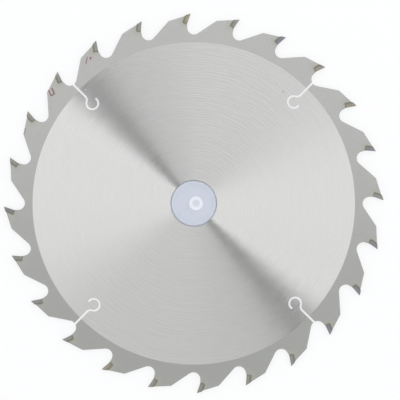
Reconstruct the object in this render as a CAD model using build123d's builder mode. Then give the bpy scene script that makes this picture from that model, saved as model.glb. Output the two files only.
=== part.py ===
"""Circular saw blade with 24 brazed carbide tips and a plastic plug in its bore.

The blade lies flat. Z is the arbor axis and the origin is the middle of the bore,
half way through the plate. Seen from above, the teeth point clockwise.
Lengths are in millimetres and angles in degrees.
"""
import os
from math import atan2, cos, degrees, radians, sin, sqrt, tan

from build123d import *

os.makedirs("parts", exist_ok=True)

# Blade
BLADE_D = 250.0            # across the cutting points
TEETH = 24
FIRST_TOOTH = 0.95         # azimuth of the first cutting point, from +X
KERF = 3.2                 # width of the cut, over the sides of the tips
PLATE_T = 2.2              # steel plate at the ground clamp face
RING_W = 18.8              # dull tooth ring, inward from the cutting circle
RING_RELIEF = 0.04         # how far the ring lies below the ground face
BORE_D = 30.0
BORE_CHAMFER = 0.6

# Carbide tip and its seat
HOOK_ANGLE = 20.0          # rake of the cutting face against the radius
TOP_RELIEF = 15.0          # slope of the top face behind the cutting edge
TOP_BEVEL = 10.0           # slope of the top face across the kerf, side by side
SIDE_RELIEF = 2.0          # narrowing of the tip towards its back
SIDE_TAPER = 1.0           # narrowing of the tip towards the arbor
TIP_L = 7.0                # along the cutting face
TIP_T = 2.7                # from the cutting face to the back of the tip
BRAZE_T = 0.2              # film of braze behind and under the tip

# Tooth body
LAND_STEP = 0.5            # how far the steel stays below the back of the tip
LAND_SLOPE = 16.5          # fall of the tooth's back against the tangent
FLANK_ANGLE = 42.3         # fall from the shoulder into the gullet, against the radius
SHOULDER_FILLET = 1.5
GULLET_R = 4.5
GULLET_DEPTH = 13.8        # from the cutting circle to the bottom of the gullet

# Expansion slots
SLOTS = 4
SLOT_TOOTH = 3             # the tooth in front of which the first slot opens
SLOT_LEAD = 0.55           # slot ahead of its tooth's cutting point
SLOT_W = 1.3
SLOT_DEPTH = 31.1          # from the cutting circle to the middle of the hook
SLOT_HOOK_R = 3.9          # middle line of the hook
SLOT_BEND_R = 3.3          # middle line of the bend that leads into the hook
SLOT_END = 276.0           # where the hook ends, from the outward radius

# Bore plug
PLUG_FIT = 0.05            # clearance all round the plug in the bore
PLUG_EDGE = 0.7            # chamfer round both faces of the plug
PLUG_RIM_W = 2.4           # rim that stands in the bore
PLUG_WEB_T = 1.6           # disc inside the rim
PLUG_BOSS_R = 4.5
PLUG_BOSS_T = 2.8          # over both ends of the boss
PLUG_BOSS_X = 1.5          # boss off the middle, towards +X
DIMPLE_R = 3.2
DIMPLE_DEPTH = 0.6

OVERCUT = 10.0             # how far the cutting profiles run past the blade

blade_r = BLADE_D / 2
bore_r = BORE_D / 2
pitch = 360.0 / TEETH
ring_r = blade_r - RING_W
ring_half_t = PLATE_T / 2 - RING_RELIEF

# Tooth frame: X runs outward through the cutting point, Y runs against the cut
cutting_point = Vector(blade_r, 0)
down_hook = Vector(-cos(radians(HOOK_ANGLE)), sin(radians(HOOK_ANGLE)))
into_tooth = Vector(sin(radians(HOOK_ANGLE)), cos(radians(HOOK_ANGLE)))
down_relief = Vector(-sin(radians(TOP_RELIEF)), cos(radians(TOP_RELIEF)))
down_land = Vector(-sin(radians(LAND_SLOPE)), cos(radians(LAND_SLOPE)))
down_flank = Vector(-cos(radians(FLANK_ANGLE)), sin(radians(FLANK_ANGLE)))


def in_tip(along, across):
    """Point at a distance down the cutting face and a distance into the tooth."""
    return cutting_point + down_hook * along + into_tooth * across


hook_foot = in_tip(TIP_L, 0)
tip_back = cutting_point + down_relief * (TIP_T / cos(radians(HOOK_ANGLE + TOP_RELIEF)))
land_start = tip_back - Vector(LAND_STEP, 0)

# The tooth in front, turned one pitch towards the cut
front_land_start = land_start.rotate(Axis.Z, -pitch)
front_land = down_land.rotate(Axis.Z, -pitch)
front_flank = down_flank.rotate(Axis.Z, -pitch)
front_up = down_hook.rotate(Axis.Z, -pitch) * -OVERCUT

# The gullet's circle touches the wall below the cutting face and the flank in front
gullet_opening = degrees(atan2(-front_flank.Y, -front_flank.X)) * -1
gullet_reach = GULLET_R / tan(radians(gullet_opening / 2))
gullet_corner = Vector(blade_r - GULLET_DEPTH + GULLET_R - gullet_reach, hook_foot.Y)

# The shoulder is where that flank meets the back of the tooth in front
to_corner = gullet_corner - front_land_start
land_turn = front_land.X * front_flank.Y - front_land.Y * front_flank.X
land_run = (to_corner.X * front_flank.Y - to_corner.Y * front_flank.X) / land_turn
front_shoulder = front_land_start + front_land * land_run

# Gap between two teeth: cutting face, wall, gullet, flank and back of the next tooth
with BuildSketch() as gap:
    with BuildLine():
        Polyline(
            in_tip(-OVERCUT, 0),
            hook_foot,
            gullet_corner,
            front_shoulder,
            front_land_start,
            front_land_start + front_up,
            close=True,
        )
    make_face()
    fillet(gap.vertices().sort_by_distance(gullet_corner)[0], GULLET_R)
    fillet(gap.vertices().sort_by_distance(front_shoulder)[0], SHOULDER_FILLET)

# Seat of a tip, with room for the braze behind and under it
seat_back = TIP_T + BRAZE_T
seat_floor = TIP_L + BRAZE_T
with BuildSketch() as seat:
    with BuildLine():
        Polyline(
            in_tip(-OVERCUT, -TIP_T),
            in_tip(seat_floor, -TIP_T),
            in_tip(seat_floor, seat_back),
            in_tip(-OVERCUT, seat_back),
            close=True,
        )
    make_face()

# Expansion slot along the radius, with its bend and its hook
hook_centre = Vector(blade_r - SLOT_DEPTH, 0)
bend_reach = sqrt(SLOT_HOOK_R**2 + 2 * SLOT_HOOK_R * SLOT_BEND_R)
bend_start = hook_centre + Vector(bend_reach, 0)
hook_start = degrees(atan2(SLOT_BEND_R, bend_reach))
with BuildSketch() as slot:
    with BuildLine() as slot_line:
        Line((hook_foot.X, 0), bend_start)
        CenterArc(bend_start + Vector(0, SLOT_BEND_R), SLOT_BEND_R, 270, hook_start - 90)
        CenterArc(hook_centre, SLOT_HOOK_R, hook_start, SLOT_END - hook_start)
    trace(line_width=SLOT_W)
    with Locations(slot_line.line @ 1):
        Circle(SLOT_W / 2)

with BuildPart() as saw_plate:
    with BuildSketch():
        Circle(blade_r)
        with PolarLocations(0, TEETH, start_angle=FIRST_TOOTH):
            add(gap.sketch, mode=Mode.SUBTRACT)
            add(seat.sketch, mode=Mode.SUBTRACT)
        first_slot = FIRST_TOOTH + SLOT_TOOTH * pitch - SLOT_LEAD
        slot_step = TEETH // SLOTS * pitch
        with PolarLocations(0, SLOTS, first_slot, slot_step * SLOTS):
            add(slot.sketch, mode=Mode.SUBTRACT)
        Circle(bore_r, mode=Mode.SUBTRACT)
    extrude(amount=PLATE_T / 2, both=True)
    for face_z in (-PLATE_T / 2, PLATE_T / 2):
        with BuildSketch(Plane.XY.offset(face_z)):
            Circle(blade_r)
            Circle(ring_r, mode=Mode.SUBTRACT)
        extrude(amount=RING_RELIEF, both=True, mode=Mode.SUBTRACT)
    bore_edges = saw_plate.edges().filter_by(
        lambda edge: edge.geom_type == GeomType.CIRCLE and abs(edge.radius - bore_r) < 1e-6
    )
    chamfer(bore_edges, BORE_CHAMFER)


def carbide_tip(high_side):
    """Tip at azimuth zero, its top face highest at the side of +Z (1) or -Z (-1)."""
    with BuildPart() as tip:
        with BuildSketch():
            with BuildLine():
                Polyline(
                    in_tip(-KERF, 0),
                    in_tip(TIP_L, 0),
                    in_tip(TIP_L, TIP_T),
                    in_tip(-KERF, TIP_T),
                    close=True,
                )
            make_face()
        extrude(amount=KERF / 2, both=True)
        # Top face, along the relief and tilted across the kerf
        high_point = cutting_point + Vector(0, 0, high_side * KERF / 2)
        relief_way = Vector(down_relief.X, down_relief.Y, 0)
        bevel_way = Vector(high_side * tan(radians(TOP_BEVEL)), 0, 1)
        split(
            bisect_by=Plane(origin=high_point, z_dir=relief_way.cross(bevel_way)),
            keep=Keep.BOTTOM,
        )
        # Sides, full width only at the cutting edge
        for side in (-1, 1):
            wide_point = cutting_point + Vector(0, 0, side * KERF / 2)
            outward = Vector(-tan(radians(SIDE_TAPER)), tan(radians(SIDE_RELIEF)), side)
            split(bisect_by=Plane(origin=wide_point, z_dir=outward), keep=Keep.BOTTOM)
    return tip.part


def braze_film():
    """Film of braze at azimuth zero, up the back of the tip and along its foot."""
    film_top = (cutting_point - land_start).dot(down_hook) * -1
    with BuildPart() as film:
        with BuildSketch():
            with BuildLine():
                Polyline(
                    hook_foot,
                    in_tip(seat_floor, 0),
                    in_tip(seat_floor, seat_back),
                    in_tip(film_top, seat_back),
                    in_tip(film_top, TIP_T),
                    in_tip(TIP_L, TIP_T),
                    close=True,
                )
            make_face()
        extrude(amount=ring_half_t, both=True)
    return film.part


# Plug: web, rim in the bore and a dimpled boss beside the middle
half_t = PLATE_T / 2
boss_z = PLUG_BOSS_T / 2
web_z = PLUG_WEB_T / 2
rim_r = bore_r - PLUG_FIT
with BuildPart() as bore_plug:
    with BuildSketch(Plane.XZ):
        with BuildLine():
            Polyline(
                (0, 0),
                (rim_r, 0),
                (rim_r, half_t - PLUG_EDGE),
                (rim_r - PLUG_EDGE, half_t),
                (rim_r - PLUG_RIM_W, half_t),
                (rim_r - PLUG_RIM_W, web_z),
                (0, web_z),
                close=True,
            )
        make_face()
        mirror(about=Plane.XZ)
    revolve(axis=Axis.Z)
    with BuildSketch():
        with Locations((PLUG_BOSS_X, 0)):
            Circle(PLUG_BOSS_R)
    extrude(amount=boss_z, both=True)
    for side in (-1, 1):
        dimple_top = Plane(origin=(PLUG_BOSS_X, 0, side * boss_z), z_dir=(0, 0, side))
        with BuildSketch(dimple_top):
            Circle(DIMPLE_R)
        dimple_taper = degrees(atan2(DIMPLE_R - DIMPLE_DEPTH, DIMPLE_DEPTH))
        extrude(amount=-DIMPLE_DEPTH, taper=dimple_taper, mode=Mode.SUBTRACT)

saw_plate.part.label = "saw_plate"
export_step(saw_plate.part, "parts/saw_plate.step")

bore_plug.part.label = "bore_plug"
export_step(bore_plug.part, "parts/bore_plug.step")

# The bevels alternate: one tip is high on one side, the next on the other
film = braze_film()
for number in range(1, TEETH + 1):
    azimuth = FIRST_TOOTH + (number - 1) * pitch
    high_side = 1 if number % 2 else -1
    tip = carbide_tip(high_side).rotate(Axis.Z, azimuth)
    tip.label = f"carbide_tip_{number:02d}"
    export_step(tip, f"parts/{tip.label}.step")
    seated_film = film.rotate(Axis.Z, azimuth)
    seated_film.label = f"braze_film_{number:02d}"
    export_step(seated_film, f"parts/{seated_film.label}.step")
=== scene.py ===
"""Circular saw blade: the finish of its steel, carbide, braze and plastic, and its stage."""
from math import cos, pi, radians, sin

import bpy
from bpy.props import FloatProperty, FloatVectorProperty, IntProperty, PointerProperty
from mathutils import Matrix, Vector


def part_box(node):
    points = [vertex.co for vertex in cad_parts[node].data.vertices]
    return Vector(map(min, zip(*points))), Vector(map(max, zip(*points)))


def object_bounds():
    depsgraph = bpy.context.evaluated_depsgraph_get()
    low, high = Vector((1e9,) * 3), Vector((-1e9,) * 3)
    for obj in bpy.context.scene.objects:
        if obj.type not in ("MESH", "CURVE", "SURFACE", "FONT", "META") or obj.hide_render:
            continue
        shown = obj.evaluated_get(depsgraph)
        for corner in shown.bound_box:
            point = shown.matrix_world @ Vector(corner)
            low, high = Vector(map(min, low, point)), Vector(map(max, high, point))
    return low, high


bl_info = {
    "name": "Circular Saw Blade",
    "version": (1, 0, 0),
    "blender": (4, 5, 0),
    "location": "View3D > Sidebar > Saw Blade",
    "description": "Finishes the plate, the tips, the braze and the bore plug of a saw blade",
    "category": "Object",
}

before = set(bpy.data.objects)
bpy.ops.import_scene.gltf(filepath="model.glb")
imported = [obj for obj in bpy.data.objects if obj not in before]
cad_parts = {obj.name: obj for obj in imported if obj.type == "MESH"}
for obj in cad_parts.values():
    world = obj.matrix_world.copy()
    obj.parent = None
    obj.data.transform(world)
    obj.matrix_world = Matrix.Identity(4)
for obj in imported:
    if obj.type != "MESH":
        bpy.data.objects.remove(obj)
TIPS = sorted(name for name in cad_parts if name.startswith("carbide_tip"))
FILMS = sorted(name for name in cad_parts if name.startswith("braze_film"))
BLADE_LOW, BLADE_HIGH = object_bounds()
PLATE_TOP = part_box("saw_plate")[1][2]
BLADE_R = (BLADE_HIGH[0] - BLADE_LOW[0]) / 2

# Lengths are in metres
RING_WIDTH = 0.0188  # dull tooth ring, inward from the cutting circle
RING_SLACK = 0.0002  # faces this little inside the ring still belong to it
FLAT_FROM = 0.5  # upright share of the normal from which a face lies flat
TOOTH_AHEAD = 0.2  # share of a pitch that a tooth's stretch reaches ahead of its cutting point
NOISE_MIDDLE = 0.5

# Grinding lines: how fast they change along their run and across it, and their fineness
LINES_ALONG = 3.0
LINES_ACROSS = 60.0
LINES_SCALE = 22.0

# Painted side shade, darker and slightly greenish towards -Y, away from the lamp: where along Y it
# starts and is full, and how far its edge waves
SIDE_SHADE_START = 0.10
SIDE_SHADE_FULL = -0.11
SIDE_SHADE_WAVE = 0.04

# Pen strokes on the dull ring: start, end, half width
PEN_STROKES = (
    ((-0.0703, 0.0964), (-0.0709, 0.0921), 0.00065),
    ((-0.0679, 0.0958), (-0.0682, 0.0954), 0.00115),
    ((-0.0933, 0.0756), (-0.0918, 0.0722), 0.00095),
    ((-0.0955, 0.0743), (-0.0940, 0.0710), 0.00095),
    ((-0.0939, 0.0709), (-0.0920, 0.0719), 0.00075),
    ((-0.1109, 0.0492), (-0.1112, 0.0458), 0.0005),
)
STROKE_CORE = 0.35  # share of a stroke's half width that is fully inked
STROKE_SHAKE = 0.0012

# Dark specks and one painted highlight, a glint, on the ground face: place, half width
SPECKS = (
    ((0.0718, 0.0734), 0.00055),
    ((0.0589, 0.0735), 0.0006),
)
GLINTS = (((-0.0712, 0.0749), 0.0006),)
SPOT_CORE = 0.4  # share of a spot's half width that has its full colour

# Tints of the tips: the tip's own chance value from which it turns warm, or below which cool
WARM_FROM = 0.55
COOL_FROM = 0.45
TINT_MOST = 0.8
# Where the braze stain and painted shade start on a tip, as shares of its depth and its length
STAIN_AND_SHADE_DEPTH_FROM = 0.6
STAIN_AND_SHADE_LENGTH_FROM = 0.85

# Soft edges of the plug's boss and dimple
BOSS_EDGE_OUT = 0.0005
BOSS_EDGE_IN = 0.0003
DIMPLE_CORE = 0.6

FLOOR_HALF = 3.0
GLOW_SHARE = 0.8  # how much of the floor's seen tone is plain backdrop
LAMP_SIZE = 0.9
LAMP_ENERGY = 1.2
LAMP_PLACE = (0.35, 0.8, 0.9)
# Strength of the light by azimuth, in half turns from +X. The second half turn repeats it
LIGHT_ROUND = (
    (0.0, 1.42),
    (0.12, 1.40),
    (0.25, 1.0),
    (0.60, 1.02),
    (0.69, 0.98),
    (0.716, 0.0),
    (0.767, 0.0),
    (0.773, 2.4),
    (0.79, 1.9),
    (0.83, 1.42),
)


def colour(default, text):
    """Colour property with its default."""
    return FloatVectorProperty(
        name=text, description=f"Colour of {text.lower()}", subtype="COLOR", default=default
    )


class SawBladeSizes(bpy.types.PropertyGroup):
    """Sizes that the finish follows."""

    ring_radius: FloatProperty(
        name="Ring Radius",
        description="Where the ground face ends and the dull tooth ring starts",
        default=BLADE_R - RING_WIDTH,
        unit="LENGTH",
    )
    teeth: IntProperty(name="Teeth", description="Number of teeth", default=len(TIPS))
    first_tooth: FloatProperty(
        name="First Tooth",
        description="Azimuth of the first cutting point",
        default=radians(0.95),
        unit="ROTATION",
    )
    hook_angle: FloatProperty(
        name="Hook Angle",
        description="Rake of the cutting faces",
        default=radians(20),
        unit="ROTATION",
    )
    tip_length: FloatProperty(
        name="Tip Length", description="Tip along its cutting face", default=0.007, unit="LENGTH"
    )
    tip_depth: FloatProperty(
        name="Tip Depth", description="Tip from its face to its back", default=0.0027, unit="LENGTH"
    )
    heat_reach: FloatProperty(
        name="Heat Reach",
        description="How far the brazing heat has tinted the steel",
        default=0.0052,
        unit="LENGTH",
    )
    # Dark line of braze round each seat, partly painted shade in the groove beside the tip
    braze_and_shade_reach: FloatProperty(
        name="Braze And Shade Reach",
        description="Width of the dark line round the seat",
        default=0.0011,
        unit="LENGTH",
    )
    boss_radius: FloatProperty(
        name="Boss Radius", description="Boss of the plug", default=0.0045, unit="LENGTH"
    )
    dimple_radius: FloatProperty(
        name="Dimple Radius", description="Dimple in the boss", default=0.0032, unit="LENGTH"
    )
    boss_offset: FloatProperty(
        name="Boss Offset",
        description="Boss beside the middle of the plug, towards +X",
        default=0.0015,
        unit="LENGTH",
    )
    camera_height: FloatProperty(
        name="Camera Height", description="Camera above the blade", default=1.5, unit="LENGTH"
    )
    view_width: FloatProperty(
        name="View Width", description="Width that the camera sees", default=0.2634, unit="LENGTH"
    )
    view_centre: FloatVectorProperty(
        name="View Centre",
        description="Middle of the view on the blade",
        size=2,
        default=(0.00412, 0.00222),
        unit="LENGTH",
    )


class SawBladeColours(bpy.types.PropertyGroup):
    """Colours of the finishes."""

    ground_face: colour((0.555, 0.555, 0.552), "Ground Face")
    tooth_ring: colour((0.455, 0.455, 0.45), "Tooth Ring")
    cut_edge: colour((0.30, 0.29, 0.28), "Cut Edge")
    # Painted shade: the darker, slightly greenish side towards -Y, away from the lamp
    patina: colour((0.26, 0.27, 0.25), "Patina")
    heat_tint: colour((0.40, 0.40, 0.33), "Heat Tint")
    # Dark braze colour, partly painted shade in the groove round each seat
    braze_and_shade_line: colour((0.19, 0.19, 0.16), "Braze And Shade Line")
    pen: colour((0.17, 0.10, 0.12), "Pen")
    pen_haze: colour((0.50, 0.42, 0.405), "Pen Haze")
    speck: colour((0.16, 0.16, 0.15), "Speck")
    # Painted highlight: the colour of the glint on the ground face
    glint: colour((0.95, 0.95, 0.95), "Glint")
    carbide: colour((0.26, 0.258, 0.24), "Carbide")
    carbide_warm: colour((0.30, 0.27, 0.20), "Carbide Warm")
    carbide_cool: colour((0.20, 0.205, 0.25), "Carbide Cool")
    braze: colour((0.17, 0.165, 0.13), "Braze")
    plug: colour((0.615, 0.66, 0.75), "Plug")
    plug_boss: colour((0.84, 0.865, 0.93), "Plug Boss")
    plug_dimple: colour((0.68, 0.715, 0.80), "Plug Dimple")
    floor: colour((0.90, 0.90, 0.90), "Floor")
    backdrop: colour((0.97, 0.975, 0.985), "Backdrop")


def add_node(tree, kind, inputs=None, **options):
    """Adds a node, sets its options, and fills or links its inputs."""
    made = tree.nodes.new(kind)
    for option, value in options.items():
        setattr(made, option, value)
    for key, value in (inputs or {}).items():
        if isinstance(value, bpy.types.NodeSocket):
            tree.links.new(value, made.inputs[key])
        else:
            made.inputs[key].default_value = value
    return made


def maths(tree, operation, first, second=0.0, third=0.0):
    """Value of one Math node."""
    inputs = {0: first, 1: second, 2: third}
    return add_node(tree, "ShaderNodeMath", inputs, operation=operation).outputs[0]


def vector_maths(tree, operation, first, second=(0, 0, 0), output="Vector"):
    """Result of one Vector Math node."""
    made = add_node(tree, "ShaderNodeVectorMath", {0: first, 1: second}, operation=operation)
    return made.outputs[output]


def fade(tree, value, zero_at, one_at):
    """Smooth mask that is 0 at one value and 1 at the other."""
    inputs = {"Value": value, "From Min": zero_at, "From Max": one_at}
    made = add_node(tree, "ShaderNodeMapRange", inputs, interpolation_type="SMOOTHSTEP")
    return made.outputs["Result"]


def mix(tree, mask, base, over):
    """Colour over a base colour where the mask is 1."""
    made = add_node(tree, "ShaderNodeMix", data_type="RGBA")
    for key, value in ((0, mask), (6, base), (7, over)):
        if isinstance(value, bpy.types.NodeSocket):
            tree.links.new(value, made.inputs[key])
        elif key == 0:
            made.inputs[key].default_value = value
        else:
            made.inputs[key].default_value = (*value, 1)
    return made.outputs[2]


def noise(tree, vector, scale, detail=2.0, roughness=0.5):
    """Noise value at a place."""
    inputs = {"Vector": vector, "Scale": scale, "Detail": detail, "Roughness": roughness}
    return add_node(tree, "ShaderNodeTexNoise", inputs).outputs["Fac"]


def tone_around_one(tree, value, amount):
    """Tone that swings round 1 with a noise value."""
    centred = maths(tree, "SUBTRACT", value, NOISE_MIDDLE)
    return maths(tree, "MULTIPLY_ADD", centred, amount, 1.0)


def weakened(tree, mask, most):
    """Mask that reaches only a share of 1."""
    return maths(tree, "MULTIPLY", mask, most)


def object_place(tree):
    """Place on the blade, in metres from the middle of its bore."""
    return add_node(tree, "ShaderNodeTexCoord").outputs["Object"]


def flattened(tree, place):
    """Place with its height taken away."""
    return vector_maths(tree, "MULTIPLY", place, (1, 1, 0))


def new_group(name, inputs, outputs):
    """Empty shader node group, with its input and output nodes."""
    group = bpy.data.node_groups.new(name, "ShaderNodeTree")
    for label, kind, default in inputs:
        socket = group.interface.new_socket(label, in_out="INPUT", socket_type=kind)
        if default is not None:
            socket.default_value = default
    for label, kind in outputs:
        group.interface.new_socket(label, in_out="OUTPUT", socket_type=kind)
    return group, group.nodes.new("NodeGroupInput"), group.nodes.new("NodeGroupOutput")


def group_node(tree, group, inputs):
    """Places a node group in a material, with its inputs filled or linked."""
    return add_node(tree, "ShaderNodeGroup", inputs, node_tree=group)


def tooth_place_group(sizes):
    """Place within the nearest tooth: down its cutting face, into the tooth, and its number."""
    pitch = 2 * pi / sizes.teeth
    group, given, result = new_group(
        "Tooth Place",
        [("Place", "NodeSocketVector", None)],
        [
            ("Down Face", "NodeSocketFloat"),
            ("Into Tooth", "NodeSocketFloat"),
            ("Radius", "NodeSocketFloat"),
            ("Tooth", "NodeSocketFloat"),
        ],
    )
    axes = add_node(group, "ShaderNodeSeparateXYZ", {0: given.outputs["Place"]})
    flat = add_node(group, "ShaderNodeCombineXYZ", {0: axes.outputs[0], 1: axes.outputs[1]})
    radius = vector_maths(group, "LENGTH", flat.outputs[0], output="Value")
    azimuth = maths(group, "ARCTAN2", axes.outputs[1], axes.outputs[0])
    turned = maths(group, "SUBTRACT", azimuth, sizes.first_tooth)
    back = maths(group, "WRAP", turned, pitch * (1 - TOOTH_AHEAD), pitch * -TOOTH_AHEAD)
    whole_pitches = maths(group, "SUBTRACT", turned, back)
    number = maths(group, "ROUND", maths(group, "DIVIDE", whole_pitches, pitch))
    outward = maths(group, "MULTIPLY", radius, maths(group, "COSINE", back))
    sideways = maths(group, "MULTIPLY", radius, maths(group, "SINE", back))
    point = add_node(group, "ShaderNodeCombineXYZ", {0: outward, 1: sideways})
    from_tip = vector_maths(group, "SUBTRACT", point.outputs[0], (BLADE_R, 0, 0))
    lean, rise = sin(sizes.hook_angle), cos(sizes.hook_angle)
    down = vector_maths(group, "DOT_PRODUCT", from_tip, (-rise, lean, 0), "Value")
    into = vector_maths(group, "DOT_PRODUCT", from_tip, (lean, rise, 0), "Value")
    values = {"Down Face": down, "Into Tooth": into, "Radius": radius, "Tooth": number}
    for label, value in values.items():
        group.links.new(value, result.inputs[label])
    return group


def seat_distance_group(sizes):
    """Distance from the seat of the nearest tip, uneven as the heat tint and the dark line of braze and
    painted shade run.
    """
    group, given, result = new_group(
        "Seat Distance",
        [
            ("Down Face", "NodeSocketFloat", 0.0),
            ("Into Tooth", "NodeSocketFloat", 0.0),
            ("Place", "NodeSocketVector", None),
            ("Uneven", "NodeSocketFloat", 0.001),
        ],
        [("Distance", "NodeSocketFloat")],
    )
    down = given.outputs["Down Face"]
    into = given.outputs["Into Tooth"]
    past_foot = maths(group, "MAXIMUM", maths(group, "SUBTRACT", down, sizes.tip_length), 0.0)
    past_back = maths(group, "MAXIMUM", maths(group, "SUBTRACT", into, sizes.tip_depth), 0.0)
    corner = add_node(group, "ShaderNodeCombineXYZ", {0: past_foot, 1: past_back})
    away = vector_maths(group, "LENGTH", corner.outputs[0], output="Value")
    wave = noise(group, given.outputs["Place"], scale=420.0, detail=3.0)
    ripple = maths(group, "SUBTRACT", wave, NOISE_MIDDLE)
    uneven = maths(group, "MULTIPLY", ripple, given.outputs["Uneven"])
    group.links.new(maths(group, "ADD", away, uneven), result.inputs["Distance"])
    return group


def pen_stroke_group():
    """Mask of one pen stroke between two places, with a soft edge."""
    group, given, result = new_group(
        "Pen Stroke",
        [
            ("Place", "NodeSocketVector", None),
            ("Start", "NodeSocketVector", None),
            ("End", "NodeSocketVector", None),
            ("Half Width", "NodeSocketFloat", 0.001),
        ],
        [("Mask", "NodeSocketFloat")],
    )
    run = vector_maths(group, "SUBTRACT", given.outputs["End"], given.outputs["Start"])
    reach = vector_maths(group, "SUBTRACT", given.outputs["Place"], given.outputs["Start"])
    along = vector_maths(group, "DOT_PRODUCT", reach, run, "Value")
    whole = vector_maths(group, "DOT_PRODUCT", run, run, "Value")
    share = add_node(group, "ShaderNodeClamp", {"Value": maths(group, "DIVIDE", along, whole)})
    nearest = add_node(
        group, "ShaderNodeVectorMath", {0: run, 3: share.outputs[0]}, operation="SCALE"
    )
    away = vector_maths(group, "DISTANCE", reach, nearest.outputs[0], "Value")
    core = maths(group, "MULTIPLY", given.outputs["Half Width"], STROKE_CORE)
    group.links.new(fade(group, away, given.outputs["Half Width"], core), result.inputs["Mask"])
    return group


def fine_grain_group():
    """Fine uneven tone around 1, for steel, carbide and plastic."""
    group, given, result = new_group(
        "Fine Grain",
        [
            ("Place", "NodeSocketVector", None),
            ("Scale", "NodeSocketFloat", 900.0),
            ("Amount", "NodeSocketFloat", 0.1),
        ],
        [("Tone", "NodeSocketFloat")],
    )
    value = noise(group, given.outputs["Place"], given.outputs["Scale"], detail=4.0, roughness=0.65)
    tone = tone_around_one(group, value, given.outputs["Amount"])
    group.links.new(tone, result.inputs["Tone"])
    return group


def toned(tree, base, tone):
    """Colour made lighter or darker by a tone around 1."""
    made = add_node(tree, "ShaderNodeVectorMath", {0: base, 3: tone}, operation="SCALE")
    return made.outputs[0]


def plain(tree, value):
    """One colour as a socket."""
    made = add_node(tree, "ShaderNodeRGB")
    made.outputs[0].default_value = (*value, 1)
    return made.outputs[0]


def upper_side(tree):
    """Mask of what faces up."""
    facing = add_node(tree, "ShaderNodeNewGeometry").outputs["Normal"]
    upright = add_node(tree, "ShaderNodeSeparateXYZ", {0: facing}).outputs[2]
    return fade(tree, upright, zero_at=0.5, one_at=0.9)


def patina(tree, place, most):
    """Mask of painted shade: the slightly darker, greenish side of the blade, towards -Y, away from the
    lamp.
    """
    wave = noise(tree, place, scale=9.0)
    uneven = maths(tree, "MULTIPLY_ADD", wave, SIDE_SHADE_WAVE, -SIDE_SHADE_WAVE * NOISE_MIDDLE)
    side = add_node(tree, "ShaderNodeSeparateXYZ", {0: place}).outputs[1]
    mask = fade(tree, maths(tree, "ADD", side, uneven), SIDE_SHADE_START, SIDE_SHADE_FULL)
    return weakened(tree, mask, most)


def grain_tone(tree, groups, place, scale, amount):
    """Fine uneven tone around 1 at a place."""
    inputs = {"Place": place, "Scale": scale, "Amount": amount}
    return group_node(tree, groups["Fine Grain"], inputs).outputs["Tone"]


def relief(tree, shader, height, strength, depth):
    """Bump of a finish, from a height."""
    bump = add_node(tree, "ShaderNodeBump", {"Height": height, "Strength": strength, "Distance": depth})
    tree.links.new(bump.outputs[0], shader.inputs["Normal"])


def uneven_roughness(tree, shader, tone, swing, low, high):
    """Roughness that follows a tone around 1."""
    inputs = {
        "Value": tone,
        "From Min": 1 - swing,
        "From Max": 1 + swing,
        "To Min": low,
        "To Max": high,
    }
    rough = add_node(tree, "ShaderNodeMapRange", inputs)
    tree.links.new(rough.outputs["Result"], shader.inputs["Roughness"])


def new_material(name):
    """Material with its node tree and its Principled shader."""
    material = bpy.data.materials.new(name)
    material.use_nodes = True
    tree = material.node_tree
    return material, tree, tree.nodes["Principled BSDF"]


def dress(material, *nodes):
    """Gives the material to the frame's pieces."""
    for name in nodes:
        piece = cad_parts[name]
        piece.data.materials.clear()
        piece.data.materials.append(material)


def shared_groups():
    """The node groups that several finishes use, built once."""
    sizes = bpy.context.scene.saw_blade_sizes
    makers = {
        "Tooth Place": lambda: tooth_place_group(sizes),
        "Seat Distance": lambda: seat_distance_group(sizes),
        "Pen Stroke": pen_stroke_group,
        "Fine Grain": fine_grain_group,
    }
    for name, maker in makers.items():
        if name not in bpy.data.node_groups:
            maker()
    return bpy.data.node_groups


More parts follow.
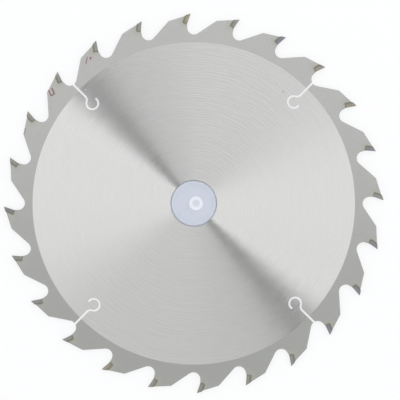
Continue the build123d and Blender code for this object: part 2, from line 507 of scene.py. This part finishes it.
class SAWBLADE_OT_plate(bpy.types.Operator):
    """Finishes the plate: ground face, dull tooth ring and cut walls"""

    bl_idname = "sawblade.plate"
    bl_label = "Finish Plate"

    def execute(self, context):
        sizes = context.scene.saw_blade_sizes
        colours = context.scene.saw_blade_colours
        groups = shared_groups()
        finishes = (
            self.ground_face(colours, groups),
            self.tooth_ring(sizes, colours, groups),
            self.cut_walls(colours, groups),
        )
        dress(finishes[0], "saw_plate")
        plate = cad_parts["saw_plate"].data
        for finish in finishes[1:]:
            plate.materials.append(finish)
        for face in plate.polygons:
            flat = abs(face.normal.z) > FLAT_FROM
            outer = face.center.xy.length > sizes.ring_radius - RING_SLACK
            face.material_index = (1 if outer else 0) if flat else 2
        return {"FINISHED"}

    def ground_face(self, colours, groups):
        """Steel ground round the arbor, its shine spread along the radius."""
        material, tree, shader = new_material("ground_steel")
        place = object_place(tree)
        tooth = group_node(tree, groups["Tooth Place"], {"Place": place})
        across = maths(tree, "MULTIPLY", tooth.outputs["Radius"], LINES_ACROSS)
        along = add_node(tree, "ShaderNodeVectorMath", {0: place, 3: LINES_ALONG}, operation="SCALE")
        offset = add_node(tree, "ShaderNodeCombineXYZ", {2: across})
        lines_place = vector_maths(tree, "ADD", along.outputs[0], offset.outputs[0])
        lines = noise(tree, lines_place, LINES_SCALE, detail=6.0, roughness=0.7)
        tone = tone_around_one(tree, lines, amount=0.10)
        steel = toned(tree, plain(tree, colours.ground_face), tone)
        # Painted shade, faint on the ground face: darker and greenish towards -Y
        steel = mix(tree, patina(tree, place, most=0.12), steel, colours.patina)
        steel = mix(tree, self.spots(tree, place, SPECKS), steel, colours.speck)
        # Painted highlight: a near-white glint on the ground face
        steel = mix(tree, self.spots(tree, place, GLINTS), steel, colours.glint)
        tree.links.new(steel, shader.inputs["Base Color"])
        shader.inputs["Metallic"].default_value = 1.0
        shader.inputs["Roughness"].default_value = 0.30
        shader.inputs["Anisotropic"].default_value = 1.0
        shader.inputs["Anisotropic Rotation"].default_value = 0.25
        around = add_node(tree, "ShaderNodeTangent", direction_type="RADIAL", axis="Z")
        tree.links.new(around.outputs[0], shader.inputs["Tangent"])
        grooves = noise(tree, lines_place, LINES_SCALE, detail=0.0)
        relief(tree, shader, grooves, strength=1.0, depth=0.0002)
        return material

    def tooth_ring(self, sizes, colours, groups):
        """Dull blasted steel, with heat tint and a dark line of braze and painted shade round the
        seats, painted side shade towards -Y, and pen strokes.
        """
        material, tree, shader = new_material("tooth_ring")
        place = object_place(tree)
        tooth = group_node(tree, groups["Tooth Place"], {"Place": place})
        grain = grain_tone(tree, groups, place, scale=700.0, amount=0.16)
        cloud = grain_tone(tree, groups, place, scale=14.0, amount=0.10)
        steel = toned(tree, toned(tree, plain(tree, colours.tooth_ring), grain), cloud)
        # Painted shade, stronger on the ring: darker and greenish towards -Y
        steel = mix(tree, patina(tree, place, most=0.50), steel, colours.patina)
        seat = group_node(
            tree,
            groups["Seat Distance"],
            {
                "Down Face": tooth.outputs["Down Face"],
                "Into Tooth": tooth.outputs["Into Tooth"],
                "Place": place,
                "Uneven": 0.0016,
            },
        )
        away = seat.outputs["Distance"]
        heat = weakened(tree, fade(tree, away, sizes.heat_reach, 0.0), most=0.55)
        steel = mix(tree, heat, steel, colours.heat_tint)
        # Dark line of braze round each seat, partly painted shade in the groove beside the tip
        braze_and_shade = weakened(tree, fade(tree, away, sizes.braze_and_shade_reach, 0.0), most=0.85)
        steel = mix(tree, braze_and_shade, steel, colours.braze_and_shade_line)
        shaken = vector_maths(tree, "ADD", flattened(tree, place), self.shake(tree, place))
        upper = upper_side(tree)
        ink = maths(tree, "MULTIPLY", self.strokes(tree, groups, shaken, spread=0.8), upper)
        haze = maths(tree, "MULTIPLY", self.strokes(tree, groups, shaken, spread=2.6), upper)
        steel = mix(tree, weakened(tree, haze, most=0.40), steel, colours.pen_haze)
        steel = mix(tree, weakened(tree, ink, most=0.9), steel, colours.pen)
        tree.links.new(steel, shader.inputs["Base Color"])
        metal = maths(tree, "SUBTRACT", 1.0, weakened(tree, ink, most=0.6))
        tree.links.new(metal, shader.inputs["Metallic"])
        shader.inputs["Roughness"].default_value = 0.6
        relief(tree, shader, grain, strength=0.2, depth=0.0001)
        return material

    def cut_walls(self, colours, groups):
        """Walls of teeth, slots and bore, with the upright marks of the cutting."""
        material, tree, shader = new_material("cut_walls")
        place = vector_maths(tree, "MULTIPLY", object_place(tree), (1, 1, 0.05))
        marks = grain_tone(tree, groups, place, scale=1500.0, amount=0.7)
        steel = toned(tree, plain(tree, colours.cut_edge), marks)
        tree.links.new(steel, shader.inputs["Base Color"])
        shader.inputs["Metallic"].default_value = 1.0
        shader.inputs["Roughness"].default_value = 0.5
        relief(tree, shader, marks, strength=0.3, depth=0.0001)
        return material

    def spots(self, tree, place, spots):
        """Mask of small round spots on the upper face."""
        mask = 0.0
        flat_place = flattened(tree, place)
        for (x, y), half in spots:
            away = vector_maths(tree, "DISTANCE", flat_place, (x, y, 0), "Value")
            mask = maths(tree, "MAXIMUM", fade(tree, away, half, half * SPOT_CORE), mask)
        return maths(tree, "MULTIPLY", mask, weakened(tree, upper_side(tree), most=0.8))

    def shake(self, tree, place):
        """Small sideways shift that makes the strokes look hand drawn."""
        inputs = {"Vector": place, "Scale": 600.0, "Detail": 2.0}
        shift = add_node(tree, "ShaderNodeTexNoise", inputs).outputs["Color"]
        centred = vector_maths(tree, "SUBTRACT", shift, (NOISE_MIDDLE, NOISE_MIDDLE, NOISE_MIDDLE))
        return vector_maths(tree, "MULTIPLY", centred, (STROKE_SHAKE, STROKE_SHAKE, 0))

    def strokes(self, tree, groups, place, spread):
        """Mask of all pen strokes, widened by a spread."""
        mask = 0.0
        for start, end, half in PEN_STROKES:
            inputs = {
                "Place": place,
                "Start": (*start, 0),
                "End": (*end, 0),
                "Half Width": half * spread,
            }
            stroke = group_node(tree, groups["Pen Stroke"], inputs)
            mask = maths(tree, "MAXIMUM", stroke.outputs["Mask"], mask)
        return mask


class SAWBLADE_OT_tips(bpy.types.Operator):
    """Finishes the carbide tips, each with a tint of its own"""

    bl_idname = "sawblade.tips"
    bl_label = "Finish Tips"

    def execute(self, context):
        sizes = context.scene.saw_blade_sizes
        colours = context.scene.saw_blade_colours
        groups = shared_groups()
        material, tree, shader = new_material("carbide")
        place = object_place(tree)
        tooth = group_node(tree, groups["Tooth Place"], {"Place": place})
        own = add_node(
            tree, "ShaderNodeTexWhiteNoise", {"W": tooth.outputs["Tooth"]}, noise_dimensions="1D"
        ).outputs["Value"]
        warm = weakened(tree, fade(tree, own, WARM_FROM, 1.0), TINT_MOST)
        cool = weakened(tree, fade(tree, own, COOL_FROM, 0.0), TINT_MOST)
        body = mix(tree, warm, colours.carbide, colours.carbide_warm)
        body = mix(tree, cool, body, colours.carbide_cool)
        grain = grain_tone(tree, groups, place, scale=1300.0, amount=0.35)
        cloud = grain_tone(tree, groups, place, scale=260.0, amount=0.5)
        body = toned(tree, toned(tree, body, grain), cloud)
        depth, length = sizes.tip_depth, sizes.tip_length
        # Braze stain with painted shade where the tip meets its seat, at its back and faintly at its
        # foot
        near_back = fade(tree, tooth.outputs["Into Tooth"], depth * STAIN_AND_SHADE_DEPTH_FROM, depth)
        near_foot = fade(tree, tooth.outputs["Down Face"], length * STAIN_AND_SHADE_LENGTH_FROM, length)
        faint_foot = weakened(tree, near_foot, most=0.4)
        stained_and_shaded = weakened(tree, maths(tree, "MAXIMUM", near_back, faint_foot), most=0.8)
        body = mix(tree, stained_and_shaded, body, colours.braze)
        tree.links.new(body, shader.inputs["Base Color"])
        shader.inputs["Metallic"].default_value = 0.85
        uneven_roughness(tree, shader, grain, swing=0.2, low=0.36, high=0.52)
        relief(tree, shader, grain, strength=0.15, depth=0.00005)
        dress(material, *TIPS)
        return {"FINISHED"}


class SAWBLADE_OT_braze(bpy.types.Operator):
    """Finishes the braze films, dark with heat and flux"""

    bl_idname = "sawblade.braze"
    bl_label = "Finish Braze"

    def execute(self, context):
        colours = context.scene.saw_blade_colours
        groups = shared_groups()
        material, tree, shader = new_material("braze")
        place = object_place(tree)
        grain = grain_tone(tree, groups, place, scale=500.0, amount=0.8)
        body = toned(tree, plain(tree, colours.braze), grain)
        tree.links.new(body, shader.inputs["Base Color"])
        shader.inputs["Metallic"].default_value = 0.7
        uneven_roughness(tree, shader, grain, swing=0.4, low=0.4, high=0.7)
        relief(tree, shader, grain, strength=0.4, depth=0.0001)
        dress(material, *FILMS)
        return {"FINISHED"}


class SAWBLADE_OT_plug(bpy.types.Operator):
    """Finishes the milky plastic plug in the bore"""

    bl_idname = "sawblade.plug"
    bl_label = "Finish Plug"

    def execute(self, context):
        sizes = context.scene.saw_blade_sizes
        colours = context.scene.saw_blade_colours
        groups = shared_groups()
        material, tree, shader = new_material("plug_plastic")
        place = object_place(tree)
        boss_place = (sizes.boss_offset, 0, 0)
        away = vector_maths(tree, "DISTANCE", flattened(tree, place), boss_place, "Value")
        boss = fade(tree, away, sizes.boss_radius + BOSS_EDGE_OUT, sizes.boss_radius - BOSS_EDGE_IN)
        dimple = fade(tree, away, sizes.dimple_radius, sizes.dimple_radius * DIMPLE_CORE)
        cloud = grain_tone(tree, groups, place, scale=180.0, amount=0.14)
        grain = grain_tone(tree, groups, place, scale=1200.0, amount=0.06)
        body = mix(tree, boss, colours.plug, colours.plug_boss)
        body = mix(tree, dimple, body, colours.plug_dimple)
        body = toned(tree, toned(tree, body, cloud), grain)
        tree.links.new(body, shader.inputs["Base Color"])
        shader.inputs["Roughness"].default_value = 0.42
        shader.inputs["IOR"].default_value = 1.49
        shader.inputs["Transmission Weight"].default_value = 0.25
        relief(tree, shader, cloud, strength=0.15, depth=0.0003)
        dress(material, "bore_plug")
        return {"FINISHED"}


class SAWBLADE_OT_stage(bpy.types.Operator):
    """Lays the pale floor, sets the soft light and the camera above the blade"""

    bl_idname = "sawblade.stage"
    bl_label = "Set Stage"

    def execute(self, context):
        sizes = context.scene.saw_blade_sizes
        colours = context.scene.saw_blade_colours
        self.floor(colours)
        self.light(colours)
        self.camera(context.scene, sizes)
        context.scene.view_settings.view_transform = "Standard"
        return {"FINISHED"}

    def floor(self, colours):
        """Wide pale floor under the tips, shown bright but keeping the blade's shadow."""
        mesh = bpy.data.meshes.new("floor")
        half, low = FLOOR_HALF, BLADE_LOW[2]
        corners = [(-half, -half, low), (half, -half, low), (half, half, low), (-half, half, low)]
        mesh.from_pydata(corners, [], [(0, 1, 2, 3)])
        floor = bpy.data.objects.new("floor", mesh)
        bpy.context.collection.objects.link(floor)
        material, tree, shader = new_material("floor")
        shader.inputs["Base Color"].default_value = (*colours.floor, 1)
        shader.inputs["Roughness"].default_value = 0.9
        glow = add_node(tree, "ShaderNodeEmission", {"Color": (*colours.backdrop, 1)})
        rays = add_node(tree, "ShaderNodeLightPath").outputs
        seen = maths(tree, "MAXIMUM", rays["Is Camera Ray"], rays["Is Glossy Ray"])
        seen = maths(tree, "MAXIMUM", seen, rays["Is Transmission Ray"])
        inputs = {0: weakened(tree, seen, GLOW_SHARE), 1: shader.outputs[0], 2: glow.outputs[0]}
        blend = add_node(tree, "ShaderNodeMixShader", inputs)
        tree.links.new(blend.outputs[0], tree.nodes["Material Output"].inputs["Surface"])
        mesh.materials.append(material)

    def light(self, colours):
        """Soft light from all round, with two narrow dark gaps that the ground face mirrors."""
        world = bpy.data.worlds.new("soft_light")
        bpy.context.scene.world = world
        world.use_nodes = True
        tree = world.node_tree
        way = add_node(tree, "ShaderNodeTexCoord").outputs["Generated"]
        axes = add_node(tree, "ShaderNodeSeparateXYZ", {0: way}).outputs
        half_turns = maths(tree, "DIVIDE", maths(tree, "ARCTAN2", axes[1], axes[0]), pi)
        place = maths(tree, "FRACT", maths(tree, "ADD", half_turns, 1.0))
        ramp = add_node(tree, "ShaderNodeValToRGB", {0: place})
        stops = ramp.color_ramp.elements
        stops[0].position, stops[1].position = LIGHT_ROUND[0][0], LIGHT_ROUND[-1][0]
        for position, _ in LIGHT_ROUND[1:-1]:
            stops.new(position)
        for stop, (_, share) in zip(stops, LIGHT_ROUND):
            stop.color = (share, share, share, 1)
        rays = add_node(tree, "ShaderNodeLightPath").outputs
        shown = mix(tree, rays["Is Camera Ray"], ramp.outputs[0], colours.backdrop)
        tree.links.new(shown, tree.nodes["Background"].inputs["Color"])
        lamp = bpy.data.lights.new("soft_lamp", "AREA")
        lamp.size = LAMP_SIZE
        lamp.energy = LAMP_ENERGY
        lamp_object = bpy.data.objects.new("soft_lamp", lamp)
        lamp_object.location = LAMP_PLACE
        lamp_object.rotation_euler = Vector(LAMP_PLACE).to_track_quat("Z", "Y").to_euler()
        bpy.context.collection.objects.link(lamp_object)

    def camera(self, scene, sizes):
        """Camera straight above, with the blade a little left of and below the middle."""
        camera = bpy.data.cameras.new("camera")
        camera.lens = camera.sensor_width * sizes.camera_height / sizes.view_width
        camera_object = bpy.data.objects.new("camera", camera)
        camera_object.location = (*sizes.view_centre, PLATE_TOP + sizes.camera_height)
        bpy.context.collection.objects.link(camera_object)
        scene.camera = camera_object


class SAWBLADE_PT_panel(bpy.types.Panel):
    """Sizes, colours and makers of the saw blade"""

    bl_idname = "SAWBLADE_PT_panel"
    bl_label = "Circular Saw Blade"
    bl_space_type = "VIEW_3D"
    bl_region_type = "UI"
    bl_category = "Saw Blade"

    def draw(self, context):
        for group in (context.scene.saw_blade_sizes, context.scene.saw_blade_colours):
            box = self.layout.box()
            for name in type(group).__annotations__:
                box.prop(group, name)
        for maker in MAKERS:
            self.layout.operator(maker.bl_idname)


MAKERS = (
    SAWBLADE_OT_plate,
    SAWBLADE_OT_tips,
    SAWBLADE_OT_braze,
    SAWBLADE_OT_plug,
    SAWBLADE_OT_stage,
)
CLASSES = (SawBladeSizes, SawBladeColours, *MAKERS, SAWBLADE_PT_panel)


def register():
    """Adds the classes and the scene's properties."""
    for cls in CLASSES:
        bpy.utils.register_class(cls)
    bpy.types.Scene.saw_blade_sizes = PointerProperty(type=SawBladeSizes)
    bpy.types.Scene.saw_blade_colours = PointerProperty(type=SawBladeColours)


def unregister():
    """Takes the properties and the classes away again."""
    del bpy.types.Scene.saw_blade_colours
    del bpy.types.Scene.saw_blade_sizes
    for cls in reversed(CLASSES):
        bpy.utils.unregister_class(cls)


def main():
    """Finishes every piece and sets the stage."""
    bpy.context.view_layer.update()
    register()
    bpy.ops.sawblade.plate()
    bpy.ops.sawblade.tips()
    bpy.ops.sawblade.braze()
    bpy.ops.sawblade.plug()
    bpy.ops.sawblade.stage()


if __name__ == "__main__":
    main()
